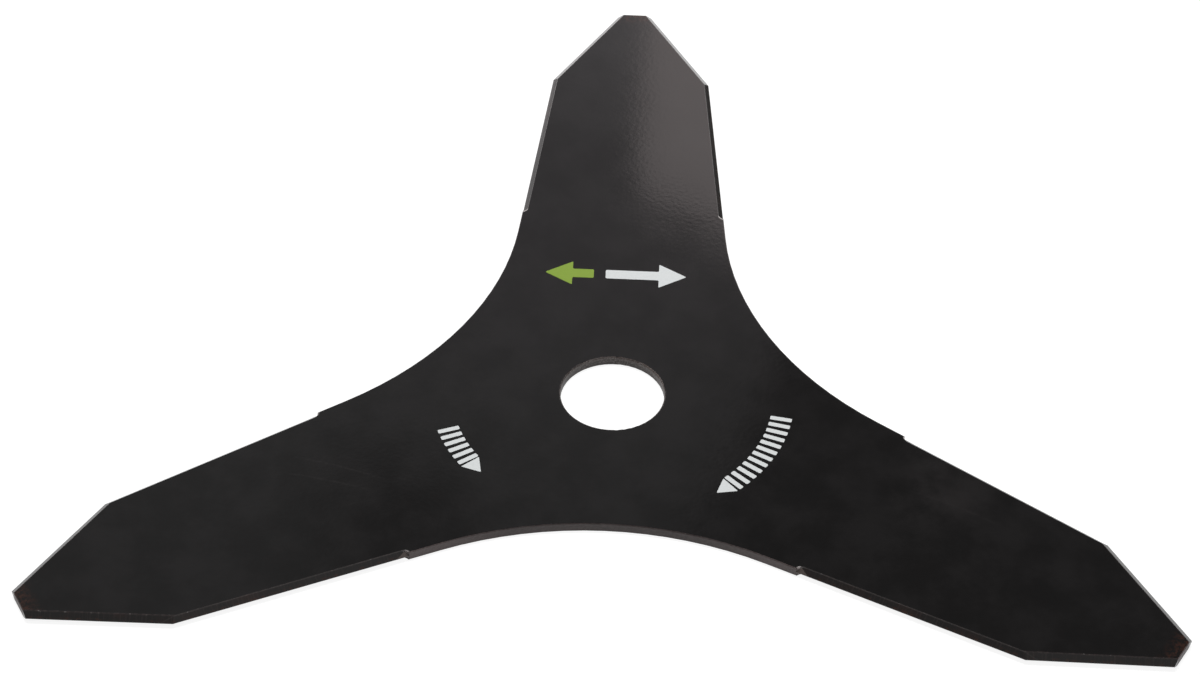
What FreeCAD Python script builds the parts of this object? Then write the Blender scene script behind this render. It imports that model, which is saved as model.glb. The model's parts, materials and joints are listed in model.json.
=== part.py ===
import FreeCAD, Part
import math
import os
import Sketcher

# Brushcutter blade: one steel plate, punched out as a three-armed star, bored in the middle,
# eased along its rims, and ground from both faces to an edge along the arms' sides and points.
# The plate lies in XY with its first arm along +Y, its bore on Z and its underside at Z = 0.

doc = FreeCAD.newDocument("brushcutter_blade")

# Driving sizes, in millimetres and degrees
SIZES = {
    "arm_count": "3",
    "plate_thickness": "2.5",
    "bore_diameter": "25.4",
    "tip_radius": "152.5",
    "tip_width": "9.2",
    "shoulder_reach": "123.4",
    "shoulder_width": "42.2",
    "arm_taper": "5",
    "hub_radius": "44.3",
    "upper_rim_round": "0.3",
    "lower_rim_round": "0.2",
    "side_bevel_width": "1.25",
    "point_bevel_width": "1.45",
    "edge_land": "0.2",
    "runout_reach": "66.7",
    "wheel_corner_radius": "1.8",
    "wheel_overtravel": "3",
}
sizes = doc.addObject("Spreadsheet::Sheet", "sizes")
for row, (alias, value) in enumerate(SIZES.items(), start=1):
    sizes.set(f"A{row}", alias)
    sizes.set(f"B{row}", value)
    sizes.setAlias(f"B{row}", alias)
doc.recompute()

blade = doc.addObject("PartDesign::Body", "blade")
blade.Label = "blade"


def origin_feature(role):
    """Return the body's own origin plane or axis that has this role."""
    return next(feature for feature in blade.Origin.OriginFeatures if feature.Role == role)


def new_sketch(name):
    """Add a sketch on the plate's middle plane."""
    sketch = blade.newObject("Sketcher::SketchObject", name)
    sketch.AttachmentSupport = (origin_feature("XY_Plane"), [""])
    sketch.MapMode = "FlatFace"
    return sketch


def drive(sketch, name, expression, kind, *places):
    """Add a named dimension to the sketch, bound to an expression of the driving sizes."""
    value = sketch.evalExpression(expression)
    if kind == "Angle":
        value = math.radians(value)
    index = sketch.addConstraint(Sketcher.Constraint(kind, *places, value))
    sketch.renameConstraint(index, name)
    unit = " * 1 deg" if kind == "Angle" else " * 1 mm"
    sketch.setExpression(f"Constraints.{name}", f"({expression}){unit}")


def join(sketch, *corners):
    """Make the end points named in each pair of (curve, end, curve, end) meet."""
    for corner in corners:
        sketch.addConstraint(Sketcher.Constraint("Coincident", *corner))


def polar(radius, angle):
    """Return the sketch point at this radius and angle in degrees from the origin."""
    turn = math.radians(angle)
    return FreeCAD.Vector(radius * math.cos(turn), radius * math.sin(turn), 0)


def mirrored(point):
    """Return the point's mirror image across the arm's middle line."""
    return FreeCAD.Vector(-point.x, point.y, 0)


# Outline of one arm with its share of the hub, from the bore's axis to the blunt tip.
# A side and its arc run into each other smoothly, which settles the arc's radius.
START, END, CENTRE = range(1, 4)
HORIZONTAL_AXIS, VERTICAL_AXIS = range(-1, -3, -1)
valley_angle = 90 - 180 / sizes.arm_count
shoulder = FreeCAD.Vector(sizes.shoulder_width / 2, sizes.shoulder_reach, 0)
tip = FreeCAD.Vector(sizes.tip_width / 2, sizes.tip_radius, 0)
valley = polar(sizes.hub_radius, valley_angle)
lean = math.cos(math.radians(valley_angle - sizes.arm_taper))
side_offset = shoulder.dot(polar(1, sizes.arm_taper))
arc_radius = (sizes.hub_radius * lean - side_offset) / (1 - lean)
arc_centre = polar(sizes.hub_radius + arc_radius, valley_angle)
side_start = arc_centre - polar(arc_radius, sizes.arm_taper)

outline = new_sketch("arm_outline")
hub = FreeCAD.Vector(0, 0, 0)
upright = FreeCAD.Vector(0, 0, 1)
outline.addGeometry([
    Part.LineSegment(hub, valley),
    Part.ArcOfCircle(
        Part.Circle(arc_centre, upright, arc_radius),
        math.radians(180 + sizes.arm_taper),
        math.radians(180 + valley_angle),
    ),
    Part.LineSegment(side_start, shoulder),
    Part.LineSegment(shoulder, tip),
    Part.LineSegment(tip, mirrored(tip)),
    Part.LineSegment(mirrored(tip), mirrored(shoulder)),
    Part.LineSegment(mirrored(shoulder), mirrored(side_start)),
    Part.ArcOfCircle(
        Part.Circle(mirrored(arc_centre), upright, arc_radius),
        math.radians(360 - valley_angle),
        math.radians(360 - sizes.arm_taper),
    ),
    Part.LineSegment(mirrored(valley), hub),
])
RIGHT_RAY, RIGHT_ARC, RIGHT_SIDE, RIGHT_POINT, BLUNT_TIP = range(5)
LEFT_POINT, LEFT_SIDE, LEFT_ARC, LEFT_RAY = range(5, 9)
join(
    outline,
    (RIGHT_RAY, START, HORIZONTAL_AXIS, START),
    (RIGHT_RAY, END, RIGHT_ARC, END),
    (RIGHT_SIDE, END, RIGHT_POINT, START),
    (RIGHT_POINT, END, BLUNT_TIP, START),
    (BLUNT_TIP, END, LEFT_POINT, START),
    (LEFT_POINT, END, LEFT_SIDE, START),
    (LEFT_ARC, START, LEFT_RAY, START),
    (LEFT_RAY, END, HORIZONTAL_AXIS, START),
)
outline.addConstraint(Sketcher.Constraint("Tangent", RIGHT_ARC, START, RIGHT_SIDE, START))
outline.addConstraint(Sketcher.Constraint("Tangent", LEFT_ARC, END, LEFT_SIDE, END))
outline.addConstraint(Sketcher.Constraint("PointOnObject", RIGHT_ARC, CENTRE, RIGHT_RAY))
for right, left in (
    ((RIGHT_RAY, END), (LEFT_RAY, START)),
    ((RIGHT_ARC, CENTRE), (LEFT_ARC, CENTRE)),
    ((RIGHT_SIDE, END), (LEFT_SIDE, START)),
    ((RIGHT_POINT, END), (LEFT_POINT, START)),
):
    outline.addConstraint(Sketcher.Constraint("Symmetric", *right, *left, VERTICAL_AXIS))
drive(outline, "valley_direction", "90 - 180 / sizes.arm_count", "Angle", RIGHT_RAY)
drive(outline, "valley_depth", "sizes.hub_radius", "Distance", RIGHT_RAY)
drive(outline, "side_direction", "90 + sizes.arm_taper", "Angle", RIGHT_SIDE)
drive(outline, "shoulder_x", "sizes.shoulder_width / 2", "DistanceX", -1, START, RIGHT_SIDE, END)
drive(outline, "shoulder_y", "sizes.shoulder_reach", "DistanceY", -1, START, RIGHT_SIDE, END)
drive(outline, "tip_x", "sizes.tip_width / 2", "DistanceX", -1, START, RIGHT_POINT, END)
drive(outline, "tip_y", "sizes.tip_radius", "DistanceY", -1, START, RIGHT_POINT, END)

arm = blade.newObject("PartDesign::Pad", "arm")
arm.Profile = outline
arm.SideType = "Symmetric"
arm.setExpression("Length", "sizes.plate_thickness * 1 mm")

star = blade.newObject("PartDesign::PolarPattern", "star")
star.Originals = [arm]
star.Axis = (origin_feature("Z_Axis"), [""])
star.Angle = 360
star.setExpression("Occurrences", "sizes.arm_count")
star.Refine = True
blade.Tip = star
doc.recompute()

# Bore for the gearbox's arbor
bore_circle = new_sketch("bore_circle")
bore_circle.addGeometry(Part.Circle(hub, upright, sizes.bore_diameter / 2))
join(bore_circle, (0, CENTRE, HORIZONTAL_AXIS, START))
drive(bore_circle, "bore", "sizes.bore_diameter", "Diameter", 0)
bore = blade.newObject("PartDesign::Pocket", "bore")
bore.Profile = bore_circle
bore.SideType = "Symmetric"
bore.setExpression("Length", "2 * sizes.plate_thickness * 1 mm")
doc.recompute()

# How near two heights are taken as the same, as a share of them
CLOSE = 1e-4


def round_rim(name, base, level, radius):
    """Round every edge of the base that lies at this height, outline and bore alike."""
    rim = [
        f"Edge{number}"
        for number, edge in enumerate(base.Shape.Edges, start=1)
        if math.isclose(edge.BoundBox.ZMin, level, rel_tol=CLOSE)
        and math.isclose(edge.BoundBox.ZMax, level, rel_tol=CLOSE)
    ]
    fillet = blade.newObject("PartDesign::Fillet", name)
    fillet.Base = (base, rim)
    fillet.setExpression("Radius", f"sizes.{radius} * 1 mm")
    doc.recompute()
    return fillet


upper_rim = round_rim("upper_rim", bore, sizes.plate_thickness / 2, "upper_rim_round")
lower_rim = round_rim("lower_rim", upper_rim, -sizes.plate_thickness / 2, "lower_rim_round")

# Grinding. Each cut is drawn in the plane of its bevel: X runs along the cutting edge toward
# the tip, Y climbs the bevel toward the middle of the arm, and the wheel takes away all above.
HALF_RISE = "(sizes.plate_thickness - sizes.edge_land) / 2"
SIDE_RUN = "(sizes.shoulder_reach - sizes.runout_reach) / cos(sizes.arm_taper * 1 deg)"
POINT_X = "(sizes.shoulder_width - sizes.tip_width) / 2"
POINT_Y = "(sizes.tip_radius - sizes.shoulder_reach)"


def bevel_sketch(name, heading, width):
    """Add a sketch at the right shoulder, turned to this heading and tilted to the bevel."""
    sketch = new_sketch(name)
    corner = "vector(sizes.shoulder_width / 2; sizes.shoulder_reach; sizes.edge_land / 2)"
    tilt = f"atan({HALF_RISE} / sizes.{width})"
    sketch.setExpression("AttachmentOffset", f"placement({corner}; rotation({heading}; 0; {tilt}))")
    return sketch


def above_bevel(width):
    """Return the expression for how far up its slope a cut reaches, past the upper face."""
    return f"sqrt(({HALF_RISE}) ^ 2 + sizes.{width} ^ 2) + sizes.wheel_overtravel"


def draw_lines(sketch, points):
    """Draw a line from each point to the next."""
    for first, last in zip(points, points[1:]):
        sketch.addGeometry(Part.LineSegment(first, last))


def grind(name, sketch):
    """Take away everything above the sketched stretch of bevel."""
    cut = blade.newObject("PartDesign::Pocket", name)
    cut.Profile = sketch
    cut.Reversed = True
    cut.setExpression("Length", "sizes.plate_thickness * 1 mm")
    doc.recompute()
    return cut


# Side bevel: toward the hub it ends in the round mark of the wheel's corner
side_path = bevel_sketch("side_path", "90 deg + sizes.arm_taper * 1 deg", "side_bevel_width")
runout = -side_path.evalExpression(SIDE_RUN)
corner_radius = sizes.wheel_corner_radius
lifted = runout + corner_radius
ahead = sizes.wheel_overtravel
climb = side_path.evalExpression(above_bevel("side_bevel_width"))
corner_centre = FreeCAD.Vector(lifted, 0, 0)
corner_mark = Part.Circle(corner_centre, upright, corner_radius)
draw_lines(side_path, [FreeCAD.Vector(runout, -ahead, 0), FreeCAD.Vector(runout, 0, 0)])
side_path.addGeometry(Part.ArcOfCircle(corner_mark, math.radians(90), math.radians(180)))
draw_lines(side_path, [
    FreeCAD.Vector(lifted, corner_radius, 0),
    FreeCAD.Vector(lifted, climb, 0),
    FreeCAD.Vector(ahead, climb, 0),
    FreeCAD.Vector(ahead, -ahead, 0),
    FreeCAD.Vector(runout, -ahead, 0),
])
ENTRY, CORNER, EXIT, TOP, FRONT, BOTTOM = range(6)
join(
    side_path,
    (ENTRY, END, CORNER, END),
    (CORNER, START, EXIT, START),
    (EXIT, END, TOP, START),
    (TOP, END, FRONT, START),
    (FRONT, END, BOTTOM, START),
    (BOTTOM, END, ENTRY, START),
)
for line in (ENTRY, EXIT, FRONT):
    side_path.addConstraint(Sketcher.Constraint("Vertical", line))
for line in (TOP, BOTTOM):
    side_path.addConstraint(Sketcher.Constraint("Horizontal", line))
side_path.addConstraint(Sketcher.Constraint("PointOnObject", ENTRY, END, HORIZONTAL_AXIS))
side_path.addConstraint(Sketcher.Constraint("PointOnObject", CORNER, CENTRE, HORIZONTAL_AXIS))
side_path.addConstraint(Sketcher.Constraint("Vertical", CORNER, CENTRE, CORNER, START))
drive(side_path, "run", SIDE_RUN, "DistanceX", ENTRY, END, -1, START)
drive(side_path, "corner", "sizes.wheel_corner_radius", "Radius", CORNER)
drive(side_path, "climb", above_bevel("side_bevel_width"), "DistanceY", -1, START, TOP, END)
drive(side_path, "ahead", "sizes.wheel_overtravel", "DistanceX", -1, START, TOP, END)
drive(side_path, "below", "sizes.wheel_overtravel", "DistanceY", FRONT, END, -1, START)
side_cut = grind("side_cut", side_path)

# Point bevel: from the shoulder out past the blunt tip
point_heading = f"90 deg + atan({POINT_X} / {POINT_Y})"
point_path = bevel_sketch("point_path", point_heading, "point_bevel_width")
POINT_RUN = f"sqrt(({POINT_X}) ^ 2 + {POINT_Y} ^ 2) + sizes.wheel_overtravel"
past_tip = point_path.evalExpression(POINT_RUN)
climb = point_path.evalExpression(above_bevel("point_bevel_width"))
draw_lines(point_path, [
    FreeCAD.Vector(-ahead, -ahead, 0),
    FreeCAD.Vector(-ahead, climb, 0),
    FreeCAD.Vector(past_tip, climb, 0),
    FreeCAD.Vector(past_tip, -ahead, 0),
    FreeCAD.Vector(-ahead, -ahead, 0),
])
BACK, TOP, FRONT, BOTTOM = range(4)
join(
    point_path,
    (BACK, END, TOP, START),
    (TOP, END, FRONT, START),
    (FRONT, END, BOTTOM, START),
    (BOTTOM, END, BACK, START),
)
for line in (BACK, FRONT):
    point_path.addConstraint(Sketcher.Constraint("Vertical", line))
for line in (TOP, BOTTOM):
    point_path.addConstraint(Sketcher.Constraint("Horizontal", line))
drive(point_path, "behind", "sizes.wheel_overtravel", "DistanceX", BACK, START, -1, START)
drive(point_path, "below", "sizes.wheel_overtravel", "DistanceY", BACK, START, -1, START)
drive(point_path, "climb", above_bevel("point_bevel_width"), "DistanceY", -1, START, TOP, END)
drive(point_path, "run", POINT_RUN, "DistanceX", -1, START, TOP, END)
point_cut = grind("point_cut", point_path)

# The same two cuts on the lower face, on the arm's left edge and on every arm
lower_face = doc.addObject("PartDesign::Mirrored", "lower_face")
lower_face.MirrorPlane = (origin_feature("XY_Plane"), [""])
left_edge = doc.addObject("PartDesign::Mirrored", "left_edge")
left_edge.MirrorPlane = (origin_feature("YZ_Plane"), [""])
every_arm = doc.addObject("PartDesign::PolarPattern", "every_arm")
every_arm.Axis = (origin_feature("Z_Axis"), [""])
every_arm.Angle = 360
every_arm.setExpression("Occurrences", "sizes.arm_count")
bevels = blade.newObject("PartDesign::MultiTransform", "bevels")
bevels.Originals = [side_cut, point_cut]
bevels.Transformations = [lower_face, left_edge, every_arm]
blade.Tip = bevels

blade.setExpression("Placement.Base.z", "sizes.plate_thickness / 2 * 1 mm")
doc.recompute()

for item in doc.Objects:
    if "Invalid" in item.State or "Error" in item.State:
        raise RuntimeError(f"{item.Name} did not compute: {item.State}")
if blade.Shape.isNull() or not blade.Shape.isValid() or len(blade.Shape.Solids) != 1:
    raise RuntimeError("the blade is not one sound solid")

os.makedirs("parts", exist_ok=True)
blade.Shape.exportStep(f"parts/{blade.Label}.step")
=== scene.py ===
import json
import math

import bmesh
import bpy
from mathutils import Matrix, Vector


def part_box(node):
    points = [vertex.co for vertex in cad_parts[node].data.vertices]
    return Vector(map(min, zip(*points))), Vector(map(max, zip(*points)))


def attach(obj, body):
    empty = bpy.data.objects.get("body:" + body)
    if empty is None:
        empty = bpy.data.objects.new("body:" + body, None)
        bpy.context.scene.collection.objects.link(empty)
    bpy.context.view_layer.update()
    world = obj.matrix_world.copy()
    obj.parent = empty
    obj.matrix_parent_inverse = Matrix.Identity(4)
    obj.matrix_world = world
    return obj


MM = 0.001

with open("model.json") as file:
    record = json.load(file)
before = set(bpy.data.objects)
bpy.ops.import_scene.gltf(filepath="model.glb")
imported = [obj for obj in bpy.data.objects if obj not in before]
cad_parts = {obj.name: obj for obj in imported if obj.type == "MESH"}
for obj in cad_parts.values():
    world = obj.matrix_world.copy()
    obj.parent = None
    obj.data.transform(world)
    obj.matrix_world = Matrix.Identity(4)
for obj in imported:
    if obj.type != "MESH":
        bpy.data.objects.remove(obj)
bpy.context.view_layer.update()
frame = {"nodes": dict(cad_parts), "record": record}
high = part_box("blade")[1]
bore_mount = next(mount for mount in frame["record"]["mounts"] if mount["name"] == "bore")

# The blade's own sizes, in millimetres, from the frame where it gives them
TOP = high.z / MM
TIP_RADIUS = high.y / MM
BORE_RADIUS = bore_mount["dims"]["r_mm"]
ARMS = 3
TIP_HALF = 4.6
SHOULDER_HALF = 21.1
SHOULDER_REACH = 123.4
ARM_TAPER = math.radians(5)
POINT_TURN = math.atan2(SHOULDER_HALF - TIP_HALF, TIP_RADIUS - SHOULDER_REACH)
SIDE_BEVEL = 1.25
POINT_BEVEL = 1.45
RUNOUT_REACH = 66.7
WHEEL_CORNER = 1.8
WEDGE_LENGTH = 2.8
RIM = 0.3


# Shader maths
class Wire:
    """A shader socket; arithmetic on it adds Math nodes to its finish."""

    def __init__(self, finish, socket):
        self.finish = finish
        self.socket = socket

    def maths(self, operation, *values):
        return self.finish.node("ShaderNodeMath", dict(enumerate(values)), operation=operation)

    def __add__(self, other):
        return self.maths("ADD", self, other)

    def __sub__(self, other):
        return self.maths("SUBTRACT", self, other)

    def __rsub__(self, other):
        return self.maths("SUBTRACT", other, self)

    def __mul__(self, other):
        return self.maths("MULTIPLY", self, other)

    def __truediv__(self, other):
        return self.maths("DIVIDE", self, other)

    def __neg__(self):
        return self.maths("SUBTRACT", 0.0, self)

    def __abs__(self):
        return self.maths("ABSOLUTE", self)

    __radd__ = __add__
    __rmul__ = __mul__


def root(value):
    return value.maths("SQRT", value)


def smaller(first, second):
    return first.maths("MINIMUM", first, second)


def larger(first, second):
    return first.maths("MAXIMUM", first, second)


class Finish:
    """The node tree of a material or world, with short ways to add to it."""

    def __init__(self, owner):
        owner.use_nodes = True
        self.owner = owner
        self.tree = owner.node_tree
        self.tree.nodes.clear()

    def node(self, kind, sockets=None, output=0, **settings):
        """Add a node: its settings are set first, then each socket gets its value or link."""
        made = self.tree.nodes.new(kind)
        for setting, value in settings.items():
            setattr(made, setting, value)
        for socket, value in (sockets or {}).items():
            if isinstance(value, Wire):
                self.tree.links.new(value.socket, made.inputs[socket])
            else:
                made.inputs[socket].default_value = value
        return Wire(self, made.outputs[output] if made.outputs else None)

    def step(self, value, start, end, low=0.0, high=1.0):
        """Ease from low to high while the value goes from start to end."""
        sockets = {"Value": value, "From Min": start, "From Max": end, "To Min": low, "To Max": high}
        return self.node("ShaderNodeMapRange", sockets, interpolation_type="SMOOTHSTEP")

    def line(self, distance, width):
        """A soft line of this width where the distance is nought."""
        return self.step(abs(distance), 0.0, width, 1.0, 0.0)

    def mix(self, share, first, second):
        """Blend two colours."""
        return self.node("ShaderNodeMix", {0: share, 6: first, 7: second}, 2, data_type="RGBA")

    def noise(self, place, scale, detail=2.0, roughness=0.5):
        sockets = {"Vector": place, "Scale": scale, "Detail": detail, "Roughness": roughness}
        return self.node("ShaderNodeTexNoise", sockets)

    def distance(self, place, point):
        """Distance of the place from a fixed point."""
        return self.node("ShaderNodeVectorMath", {0: place, 1: point}, "Value", operation="DISTANCE")

    def millimetres(self):
        """Return the surface point in millimetres: the vector, then its three parts."""
        point = self.node("ShaderNodeTexCoord", output="Object")
        point = self.node("ShaderNodeVectorMath", {0: point, "Scale": 1 / MM}, operation="SCALE")
        return point, *self.parts(point)

    def parts(self, vector):
        return [self.node("ShaderNodeSeparateXYZ", {0: vector}, axis) for axis in range(3)]

    def output(self, shader, kind="ShaderNodeOutputMaterial"):
        self.node(kind, {"Surface": shader})
        return self.owner


# Camera, as fitted to the photograph
CAMERA_LENS = 95.77
CAMERA_ELEVATION = 42.79
CAMERA_TURN = 1.775
CAMERA_ROLL = 1.089
CAMERA_PLACE = Vector((-3.0, 15.46, 779.9)) * MM

camera_data = bpy.data.cameras.new("camera")
camera_data.lens = CAMERA_LENS
camera_data.sensor_width = 36
camera = bpy.data.objects.new("camera", camera_data)
camera.matrix_world = (
    Matrix.Rotation(math.radians(CAMERA_TURN), 4, "Z")
    @ Matrix.Rotation(math.radians(90 - CAMERA_ELEVATION), 4, "X")
    @ Matrix.Rotation(math.radians(CAMERA_ROLL), 4, "Z")
    @ Matrix.Translation(CAMERA_PLACE)
)
bpy.context.collection.objects.link(camera)
bpy.context.scene.camera = camera
bpy.context.scene.view_settings.view_transform = "Standard"


# Blade: black paint over punched and ground steel
BLACK = (0.0066, 0.0061, 0.0061, 1)
HAZE = (0.0108, 0.0100, 0.0101, 1)
SCUFF = (0.020, 0.018, 0.018, 1)
GROUND_PAINT = (0.0150, 0.0136, 0.0133, 1)
WALL_BROWN = (0.032, 0.0215, 0.0205, 1)
PALE_WALL_BROWN = (0.083, 0.0615, 0.0595, 1)
BORE_BROWN = (0.026, 0.0185, 0.0168, 1)
BORE_GREY = (0.088, 0.070, 0.063, 1)
# Bare steel, also used for the painted highlights and glints at the run-outs
BARE_STEEL_AND_GLINT = (0.62, 0.58, 0.57, 1)
RUST = (0.052, 0.021, 0.014, 1)

# Faint scuffs: the middle of each, then the centre and radius of the arc that it follows
SCUFFS = (
    ((-63.4, -29.3, 2.5), (-100.0, -159.0, 2.5), 135.0),
    ((-66.0, -33.5, 2.5), (-96.0, -172.0, 2.5), 141.5),
    ((82.0, -34.0, 2.5), (40.0, -120.0, 2.5), 96.0),
)
SCUFF_WIDTH = 0.5
CLOUD_PLACE = (79.0, -29.0, 2.5)
CLOUD_RADIUS = 17.0

# How far one finish fades into the next, and how wide the worn ridges are
FADE = 0.06
RIDGE_WIDTH = 0.3

PAINT_ROUGHNESS = 0.07
COARSE_ROUGHNESS = 0.35

# Heights of the orange peel, the plate's sway, the coarse walls and the wheel's marks
PEEL_HEIGHT = 0.0065
SWAY_HEIGHT = 0.02
COARSE_HEIGHT = 0.12
WHEEL_MARK_HEIGHT = 0.003

# Slopes by which the first arm's bevels are ground flatter than the others
RIGHT_LEAN = 0.064
LEFT_LEAN = 0.012


def arm_fields(x, y):
    """Return which arm a point is on, its place across and along that arm, and its reach."""
    around = x.maths("ARCTAN2", x, y)
    arm = around.maths("ROUND", around * (ARMS / math.tau))
    folded = around - arm * (math.tau / ARMS)
    reach = root(x * x + y * y)
    return arm, reach * folded.maths("SINE", folded), reach * folded.maths("COSINE", folded), reach


def edge_gap(across, along, turn):
    """Distance in from the edge that runs through the shoulder, leaning by this turn."""
    return (SHOULDER_HALF - across) * math.cos(turn) + (SHOULDER_REACH - along) * math.sin(turn)


def runout_gap(side_gap, along):
    """Distance hubward from the round end that the wheel leaves in a side bevel."""
    climb = math.hypot(SIDE_BEVEL, TOP / 2) / SIDE_BEVEL
    before = smaller(along - (RUNOUT_REACH + WHEEL_CORNER), 0.0)
    up = side_gap * climb
    return root(before * before + up * up) - WHEEL_CORNER


def paint_finish():
    paint = Finish(bpy.data.materials.new("black_paint"))
    place, x, y, z = paint.millimetres()
    arm, across, along, reach = arm_fields(x, y)
    side_gap = edge_gap(abs(across), along, ARM_TAPER)
    point_gap = edge_gap(abs(across), along, POINT_TURN)
    round_end = runout_gap(side_gap, along)
    upright = abs(paint.parts(paint.node("ShaderNodeTexCoord", output="Normal"))[2])
    blotch = paint.noise(place, 0.09, 5.0, 0.6)
    grain = paint.noise(place, 1.3, 3.0, 0.6)
    speck = paint.noise(place, 0.8, 4.0, 0.7)
    fine = paint.noise(place, 3.2, 2.0, 0.6)
    first_arm = paint.step(abs(arm), 0.5, 0.4)

    # Where the paint lies on a punched wall, on a ground bevel or beside the bore
    side_ground = paint.step(side_gap, SIDE_BEVEL + FADE, SIDE_BEVEL - FADE)
    side_ground = side_ground * paint.step(round_end, FADE, -FADE)
    point_ground = paint.step(point_gap, POINT_BEVEL + FADE, POINT_BEVEL - FADE)
    ground = larger(side_ground, point_ground)
    corner_end = RUNOUT_REACH + WHEEL_CORNER
    wheel_stop = paint.step(upright, 0.65, 0.5) * paint.step(along, corner_end + 0.4, corner_end)
    wall = paint.step(upright, 0.985, 0.8) * larger(1 - ground, wheel_stop)
    wedge = side_gap / SIDE_BEVEL + (along - RUNOUT_REACH) / WEDGE_LENGTH
    wedge = paint.step(wedge + 0.3 * speck, 1.25, 1.1) * side_ground * (1 - first_arm)
    bore_rim = BORE_RADIUS + RIM
    in_bore = paint.step(reach, bore_rim + 0.15, bore_rim)
    far_side = paint.step(y, 2.0, 8.0)
    bore_lip = paint.step(reach + 1.2 * speck, bore_rim + 0.55, bore_rim + 0.45) * far_side

    # Flat faces: haze, faint scuffs and a cloud, and rust by the blunt tips
    colour = paint.mix(paint.step(blotch, 0.33, 0.68), BLACK, HAZE)
    for middle, centre, radius in SCUFFS:
        mark = paint.line(paint.distance(place, centre) - radius, SCUFF_WIDTH)
        mark = mark * paint.step(paint.distance(place, middle), 15.0, 4.0) * paint.step(grain, 0.35, 0.6)
        colour = paint.mix(0.55 * mark, colour, SCUFF)
    cloud = paint.step(paint.distance(place, CLOUD_PLACE), CLOUD_RADIUS, 0.0) * paint.step(blotch, 0.3, 0.7)
    colour = paint.mix(0.8 * cloud, colour, SCUFF)
    rust = paint.step(along, TIP_RADIUS - 5.0, TIP_RADIUS - 1.0) * paint.step(speck, 0.42, 0.6)
    colour = paint.mix(0.6 * rust, colour, RUST)

    # Ground bevels: thin paint over the wheel's marks, rusty patches, worn ridges with a painted highlight
    colour = paint.mix(ground, colour, GROUND_PAINT)
    colour = paint.mix(ground * paint.step(blotch, 0.48, 0.64, 0.0, 0.18), colour, RUST)
    point_slide = along * math.cos(POINT_TURN) - abs(across) * math.sin(POINT_TURN)
    slide = along + point_ground * (point_slide - along) + 31 * arm
    cross_marks = {"W": slide, "Scale": 2.2, "Detail": 2.0, "Roughness": 0.6}
    wheel_marks = paint.node("ShaderNodeTexNoise", cross_marks, noise_dimensions="1D")
    colour = paint.mix(ground * paint.step(wheel_marks, 0.5, 0.75, 0.0, 0.14), colour, PALE_WALL_BROWN)
    side_ridge = paint.line(side_gap - SIDE_BEVEL, RIDGE_WIDTH) * paint.step(round_end, 0.1, -0.1)
    side_ridge = side_ridge * paint.step(point_gap, POINT_BEVEL - 0.15, POINT_BEVEL + 0.05)
    point_ridge = paint.line(point_gap - POINT_BEVEL, RIDGE_WIDTH)
    point_ridge = point_ridge * paint.step(side_gap, SIDE_BEVEL - 0.15, SIDE_BEVEL + 0.05)
    ridge = larger(side_ridge, point_ridge)
    # Lighter along the ridges: worn paint and a painted highlight of the edge
    colour = paint.mix(ridge * paint.step(speck, 0.4, 0.7, 0.1, 0.5), colour, PALE_WALL_BROWN)
    edge = smaller(side_gap, point_gap)
    chips = paint.step(edge, 0.6, 0.2) * paint.step(speck, 0.52, 0.6) * ground
    colour = paint.mix(0.5 * chips, colour, RUST)
    nicks = ridge * paint.step(grain, 0.62, 0.72, 0.0, 0.3)

    # Painted highlights in bare-steel colour where the wheel left: a line on the first arm, and on the
    # others a glint spot, brighter on the right arm, in a dim arc of painted light on the end wall
    end_highlight = first_arm * paint.line(round_end - 0.1, 0.26)
    end_highlight = end_highlight * paint.step(side_gap, SIDE_BEVEL + 0.05, SIDE_BEVEL - 0.1)
    glint_spot = paint.line(round_end, 0.27) * paint.line(side_gap - 0.75, 0.42)
    glint_spot = glint_spot * paint.step(arm, -0.5, 0.5, 0.4, 1.0)
    arc = paint.line(round_end, 0.35) * paint.step(side_gap, 0.1, 0.3, 0.0, 0.3)
    glint = (1 - first_arm) * larger(glint_spot, arc * paint.step(side_gap, SIDE_BEVEL, 0.9))

    # Punched walls: brown-grey, lighter at the foot and by the run-outs
    near_runout = paint.step(along, 38.0, 64.0)
    foot = paint.step(z, 0.9, 0.2, 0.0, 0.2)
    wall_lightening = smaller(0.8 * near_runout + paint.step(grain, 0.35, 0.75, 0.0, 0.4) + foot, 1.0)
    wall_colour = paint.mix(wall_lightening, WALL_BROWN, PALE_WALL_BROWN)
    colour = paint.mix(wall, paint.mix(wedge, colour, BORE_GREY), wall_colour)

    # The bore's wall is mottled, lighter above, with painted light to the right and bright specks along its
    # rim
    # Painted light: the wall is made lighter toward the right
    bore_mottle_and_light = paint.step(fine, 0.4, 0.6, 0.0, 0.5) + paint.step(x, 4.0, 12.0, 0.0, 0.9)
    bore_mottle_and_light = bore_mottle_and_light + paint.step(z, 0.9, TOP - 0.4, -0.15, 0.4)
    bore_colour = paint.mix(bore_mottle_and_light, BORE_BROWN, BORE_GREY)
    colour = paint.mix(larger(bore_lip, wall * in_bore), colour, bore_colour)
    at_rim = larger(bore_lip, in_bore * paint.step(z, TOP - 0.7, TOP - 0.2))
    rim_specks = at_rim * paint.step(fine, 0.52, 0.66, 0.0, 0.18)
    # Bare steel in the rim's specks and the ridges' nicks, with the painted highlights at the run-outs
    bare_and_glints = larger(larger(rim_specks, nicks), larger(end_highlight, glint))
    colour = paint.mix(bare_and_glints, colour, BARE_STEEL_AND_GLINT)

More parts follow.
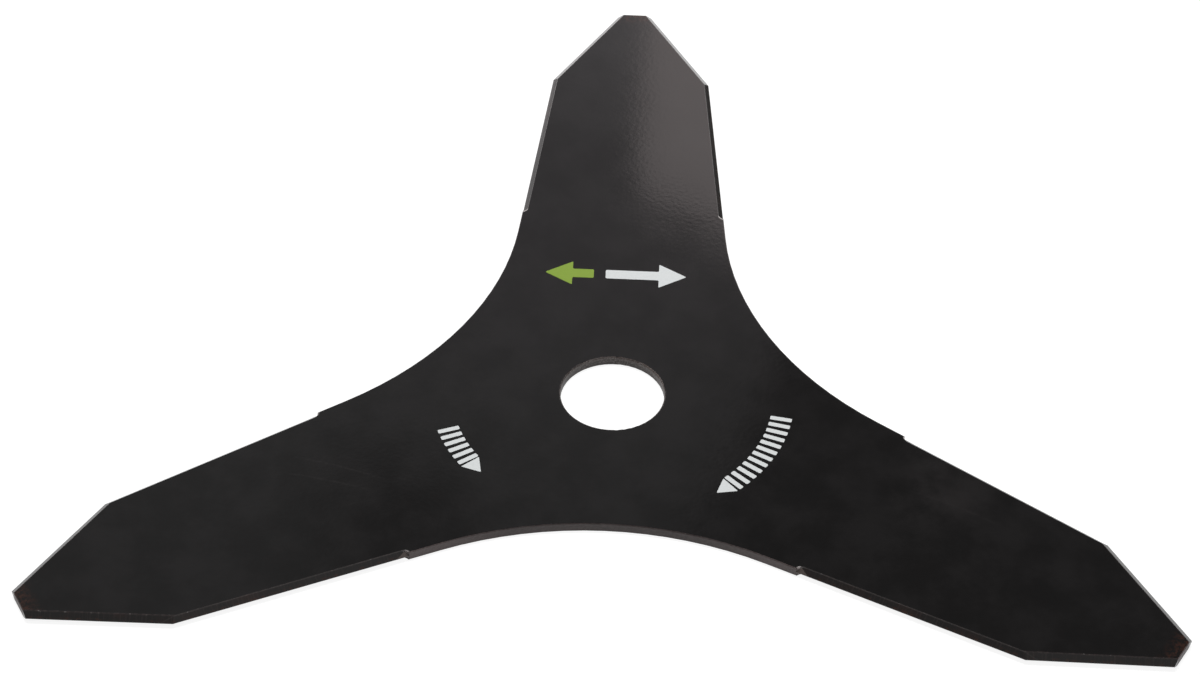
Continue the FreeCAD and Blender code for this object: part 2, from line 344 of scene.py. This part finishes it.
    coarse = larger(larger(wall, wedge), bore_lip)
    roughness = PAINT_ROUGHNESS + COARSE_ROUGHNESS * coarse + 0.03 * blotch + 0.03 * ground
    right_lean = larger(SIDE_BEVEL - edge_gap(across, along, ARM_TAPER), 0.0) * RIGHT_LEAN
    left_lean = larger(SIDE_BEVEL - edge_gap(-across, along, ARM_TAPER), 0.0) * LEFT_LEAN
    height = (
        paint.noise(place, 0.9) * PEEL_HEIGHT
        + paint.noise(place, 0.05, 1.0) * SWAY_HEIGHT
        + coarse * grain * COARSE_HEIGHT
        + ground * wheel_marks * WHEEL_MARK_HEIGHT
        + (right_lean + left_lean) * first_arm * side_ground
    )
    bump = paint.node("ShaderNodeBump", {"Strength": 1.0, "Distance": MM, "Height": height})
    shader = paint.node("ShaderNodeBsdfPrincipled", {
        "Base Color": colour,
        "Roughness": roughness,
        "IOR": 1.5,
        "Normal": bump,
    })
    return paint.output(shader)


blade = frame["nodes"]["blade"]
blade.data.materials.clear()
blade.data.materials.append(paint_finish())


# Prints: thin ink on the upper face
INK_THICKNESS = 0.03
PRINT_INNER, PRINT_OUTER = 39.0, 44.3
HEAD_ANGLE = math.radians(6)
BAR_HALF = 0.62
BAR_ROUNDING = 0.3
MARK_LOW, MARK_HIGH = 39.0, 47.8
SHAFT_HALF = 1.6
ARROW_HEAD = 7.0
ARROW_ROUNDING = 0.4


def ink_finish(name, colour):
    ink = Finish(bpy.data.materials.new(name))
    place = ink.millimetres()[0]
    grain = ink.noise(place, 2.5, 3.0, 0.6)
    thin = tuple(0.82 * part for part in colour) + (1,)
    shade = ink.mix(grain, thin, colour + (1,))
    bump = ink.node("ShaderNodeBump", {"Strength": 0.3, "Distance": 0.02 * MM, "Height": grain})
    shader = ink.node("ShaderNodeBsdfPrincipled", {
        "Base Color": shade,
        "Roughness": 0.35 + 0.1 * grain,
        "IOR": 1.5,
        "Normal": bump,
    })
    return ink.output(shader)


def print_plate(mesh, points, rounding, turn=0.0):
    """Add a flat of ink with rounded corners, turned about the bore's axis."""
    made = bmesh.new()
    corners = [made.verts.new((x, y, 0)) for x, y in points]
    made.faces.new(corners)
    bmesh.ops.bevel(
        made, geom=made.verts[:], offset=rounding, affect="VERTICES", segments=4, profile=0.5, material=-1,
    )
    top = bmesh.ops.extrude_face_region(made, geom=made.faces[:])["geom"]
    raised = [item for item in top if isinstance(item, bmesh.types.BMVert)]
    bmesh.ops.translate(made, verts=raised, vec=(0, 0, INK_THICKNESS))
    bmesh.ops.recalc_face_normals(made, faces=made.faces[:])
    bmesh.ops.rotate(made, verts=made.verts[:], matrix=Matrix.Rotation(turn, 3, "Z"))
    bmesh.ops.translate(made, verts=made.verts[:], vec=(0, 0, TOP))
    bmesh.ops.scale(made, verts=made.verts[:], vec=(MM, MM, MM))
    kept = bpy.data.meshes.new("print")
    made.to_mesh(kept)
    made.free()
    mesh.from_mesh(kept)
    bpy.data.meshes.remove(kept)


def print_piece(name, mesh, material):
    data = bpy.data.meshes.new(name)
    mesh.to_mesh(data)
    mesh.free()
    data.materials.append(material)
    piece = bpy.data.objects.new(name, data)
    bpy.context.collection.objects.link(piece)
    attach(piece, "root")


def straight_arrow(name, tail, tip, ink):
    """Print an arrow across the first arm, from its tail to its tip along X."""
    middle = (MARK_LOW + MARK_HIGH) / 2
    neck = tip - math.copysign(ARROW_HEAD, tip - tail)
    upper = [
        (tail, middle + SHAFT_HALF),
        (neck, middle + SHAFT_HALF),
        (neck, MARK_HIGH),
        (tip, middle),
    ]
    lower = [(x, 2 * middle - y) for x, y in reversed(upper[:-1])]
    mesh = bmesh.new()
    print_plate(mesh, upper + lower, ARROW_ROUNDING)
    print_piece(name, mesh, ink)


def turn_mark(name, start, end, bars, ink):
    """Print bars along an arc round the bore, ending in a head that points the way round."""
    mesh = bmesh.new()
    middle = (PRINT_INNER + PRINT_OUTER) / 2
    way = math.copysign(1, end - start)
    head = HEAD_ANGLE * way
    step = (end - start - head) / bars
    bar = [
        (-BAR_HALF, PRINT_INNER),
        (BAR_HALF, PRINT_INNER),
        (BAR_HALF, PRINT_OUTER),
        (-BAR_HALF, PRINT_OUTER),
    ]
    for number in range(bars):
        print_plate(mesh, bar, BAR_ROUNDING, -(start + (number + 0.5) * step))
    length = HEAD_ANGLE * middle / 2 * way
    point = [(-length, PRINT_INNER), (length, middle), (-length, PRINT_OUTER)]
    print_plate(mesh, point, BAR_ROUNDING, -(end - head / 2))
    print_piece(name, mesh, ink)


white_ink = ink_finish("white_ink", (0.76, 0.79, 0.79))
green_ink = ink_finish("green_ink", (0.25, 0.38, 0.045))
straight_arrow("green_arrow", -6.5, -18.9, green_ink)
straight_arrow("white_arrow", -3.5, 17.0, white_ink)
turn_mark("right_turn_mark", math.radians(97.8), math.radians(141.5), 12, white_ink)
turn_mark("left_turn_mark", math.radians(-109.7), math.radians(-133.9), 6, white_ink)


# Floor, light and backdrop
FLOOR_HALF = 4000
FLOOR_LEVEL = -0.02
SEEN_GLOW = 0.88
MIRRORED_GLOW = 0.7
BEYOND_POINT = (8, 150, 0)
SHADED_PLACE = (-150, 250, 0)


def floor_finish():
    """White to the camera with a faint shadow, plain white to other light. In reflections it is
    bright beyond the first arm's point and in a warm shade to the left of it."""
    floor = Finish(bpy.data.materials.new("white_floor"))
    place = floor.millimetres()[0]
    camera_ray = floor.node("ShaderNodeLightPath", output="Is Camera Ray")
    glossy_ray = floor.node("ShaderNodeLightPath", output="Is Glossy Ray")
    white = floor.node("ShaderNodeBsdfDiffuse", {"Color": (0.8, 0.8, 0.8, 1)})
    beyond_point = floor.step(floor.distance(place, BEYOND_POINT), 70, 35)
    shaded = floor.step(floor.distance(place, SHADED_PLACE), 200, 110)
    far_off = floor.step(floor.distance(place, (0, 0, 0)), 400, 900)
    seen_light = camera_ray * (SEEN_GLOW + 0.1 * far_off)
    mirrored_light = glossy_ray * (MIRRORED_GLOW + 0.6 * beyond_point - 0.42 * shaded)
    tint = floor.mix(glossy_ray * shaded, (1, 1, 1, 1), (1, 0.9, 0.93, 1))
    glow = floor.node("ShaderNodeEmission", {"Color": tint, "Strength": seen_light + mirrored_light})
    shadow = floor.node("ShaderNodeBsdfDiffuse", {"Color": (0.25, 0.25, 0.25, 1)})
    lit = floor.node("ShaderNodeAddShader", {0: glow, 1: shadow})
    seen = larger(camera_ray, glossy_ray)
    return floor.output(floor.node("ShaderNodeMixShader", {0: seen, 1: white, 2: lit}))


def stage_plate(name, corners, material):
    """Add a flat of the studio by its corners, in millimetres."""
    made = bmesh.new()
    made.faces.new([made.verts.new(Vector(corner) * MM) for corner in corners])
    data = bpy.data.meshes.new(name)
    made.to_mesh(data)
    made.free()
    data.materials.append(material)
    piece = bpy.data.objects.new(name, data)
    bpy.context.collection.objects.link(piece)
    return piece


stage_plate("floor", [
    (-FLOOR_HALF, -FLOOR_HALF, FLOOR_LEVEL),
    (FLOOR_HALF, -FLOOR_HALF, FLOOR_LEVEL),
    (FLOOR_HALF, FLOOR_HALF, FLOOR_LEVEL),
    (-FLOOR_HALF, FLOOR_HALF, FLOOR_LEVEL),
], floor_finish())


def world_finish():
    """A dark room behind, a lit one in front that is brighter to the right, and white to the camera."""
    world = bpy.data.worlds.new("studio")
    bpy.context.scene.world = world
    sky = Finish(world)
    x, y = sky.parts(sky.node("ShaderNodeTexCoord", output="Generated"))[:2]
    front = sky.step(y, 0.1, -0.3)
    strength = 0.05 + front * (0.22 + 0.2 * x)
    strength = larger(sky.node("ShaderNodeLightPath", output="Is Camera Ray"), strength)
    shader = sky.node("ShaderNodeBackground", {"Color": (1, 1, 1, 1), "Strength": strength})
    return sky.output(shader, "ShaderNodeOutputWorld")


world_finish()


def glow_finish(name, colour, strength):
    glow = Finish(bpy.data.materials.new(name))
    return glow.output(glow.node("ShaderNodeEmission", {"Color": colour, "Strength": strength}))


# Wall and softbox behind, whose edges show in the paint, in millimetres
SOFTBOX_Y = 900
SOFTBOX_LEFT, SOFTBOX_RIGHT = -9, 420
SOFTBOX_FOOT = 300
SOFTBOX_LEFT_HEAD, SOFTBOX_RIGHT_HEAD = 698, 908
WALL_Y = SOFTBOX_Y + 5
WALL_HALF = 1400
WALL_FOOT, WALL_HEAD = 250, 1500
EDGE_SLANT = 0.285
EDGE_HEIGHT = 842


def wall_finish():
    """A dim wall, brighter toward its foot, with a dark patch and a slanting edge to the right."""
    wall = Finish(bpy.data.materials.new("studio_wall"))
    _, x, _, z = wall.millimetres()
    edge = x + EDGE_SLANT * (z - EDGE_HEIGHT)
    inside = wall.step(edge, 85, 62) * wall.step(edge, -60, 60, 1.0, 0.86)
    shade = wall.line(x + 160, 88) * wall.step(z, 890, 990, 0.0, 0.85)
    glow = wall.step(z, 1080, 700, 0.12, 0.31) + wall.step(z, 700, 500, 0.0, 0.5)
    glow = glow + wall.step(x, -200, -320, 0.0, 0.03)
    strength = 0.09 + inside * glow * (1 - shade)
    tint = wall.mix(wall.step(z, 950, 750), (1, 1, 1, 1), (1, 0.95, 0.98, 1))
    return wall.output(wall.node("ShaderNodeEmission", {"Color": tint, "Strength": strength}))


wall = stage_plate("studio_wall", [
    (-WALL_HALF, WALL_Y, WALL_FOOT),
    (WALL_HALF, WALL_Y, WALL_FOOT),
    (WALL_HALF, WALL_Y, WALL_HEAD),
    (-WALL_HALF, WALL_Y, WALL_HEAD),
], wall_finish())
softbox = stage_plate("softbox", [
    (SOFTBOX_LEFT, SOFTBOX_Y, SOFTBOX_FOOT),
    (SOFTBOX_LEFT, SOFTBOX_Y, SOFTBOX_LEFT_HEAD),
    (SOFTBOX_RIGHT, SOFTBOX_Y, SOFTBOX_RIGHT_HEAD),
    (SOFTBOX_RIGHT, SOFTBOX_Y, SOFTBOX_FOOT),
], glow_finish("softbox_glow", (1.0, 0.90, 0.895, 1), 1.6))
for card in (wall, softbox):
    card.visible_camera = False
    card.visible_shadow = False


# A round lamp lights the paint but leaves no highlight in it
LAMP_PLACE = Vector((-100, 500, 1600)) * MM
LAMP_SIZE = 900 * MM
LAMP_POWER = 24

lamp_data = bpy.data.lights.new("overhead_lamp", "AREA")
lamp_data.shape = "DISK"
lamp_data.size = LAMP_SIZE
lamp_data.energy = LAMP_POWER
lamp = bpy.data.objects.new("overhead_lamp", lamp_data)
lamp.location = LAMP_PLACE
lamp.rotation_euler = (-LAMP_PLACE).to_track_quat("-Z", "Y").to_euler()
lamp.visible_glossy = False
bpy.context.collection.objects.link(lamp)
